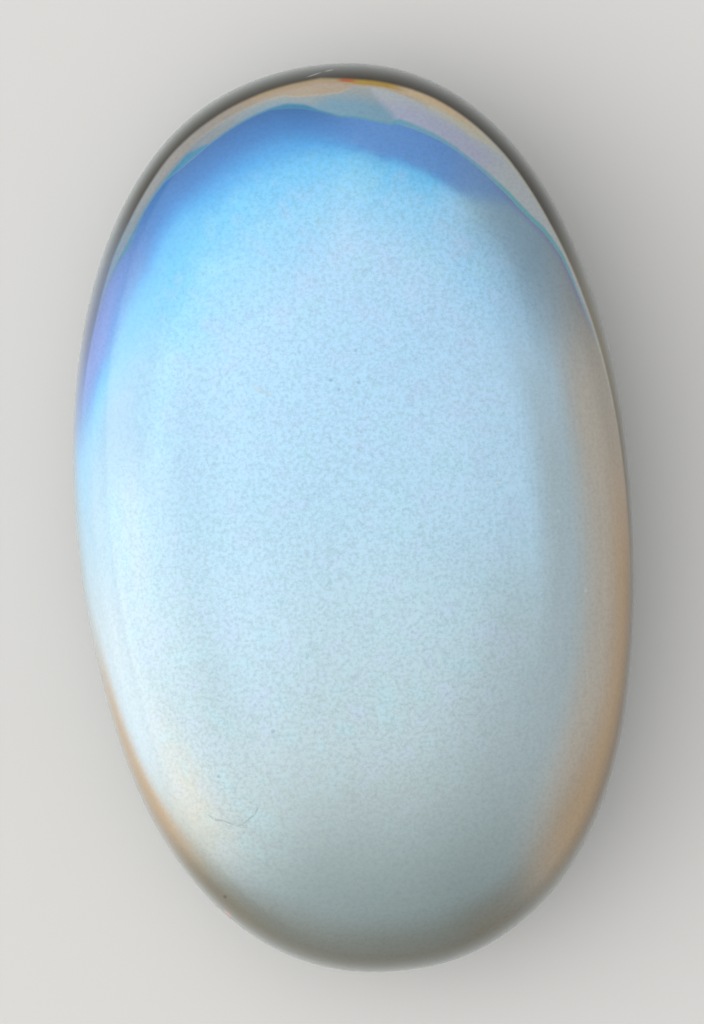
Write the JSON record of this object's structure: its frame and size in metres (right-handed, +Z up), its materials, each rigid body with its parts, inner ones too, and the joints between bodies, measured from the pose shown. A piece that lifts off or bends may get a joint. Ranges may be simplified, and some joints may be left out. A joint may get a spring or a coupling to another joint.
{
  "type": "polished oval moonstone",
  "caption": "Smooth oval moonstone with a low domed crown and a blue sheen over a milky translucent body, resting on a small worn flat.",
  "frame": {"origin": "middle of the small flat under the stone, on the surface it rests on", "axes": "+Z up through the crown, +Y along the stone's length towards the end with the bevelled underside, +X across its width"},
  "size_m": [0.0184, 0.03, 0.0082],
  "materials": {
    "moonstone": "polished, milky and translucent, with a blue sheen on the crown, a clear grey rim at one end and warm tan edges at the other"
  },
  "bodies": {
    "root": {"moonstone": "moonstone"}
  },
  "joints": []
}
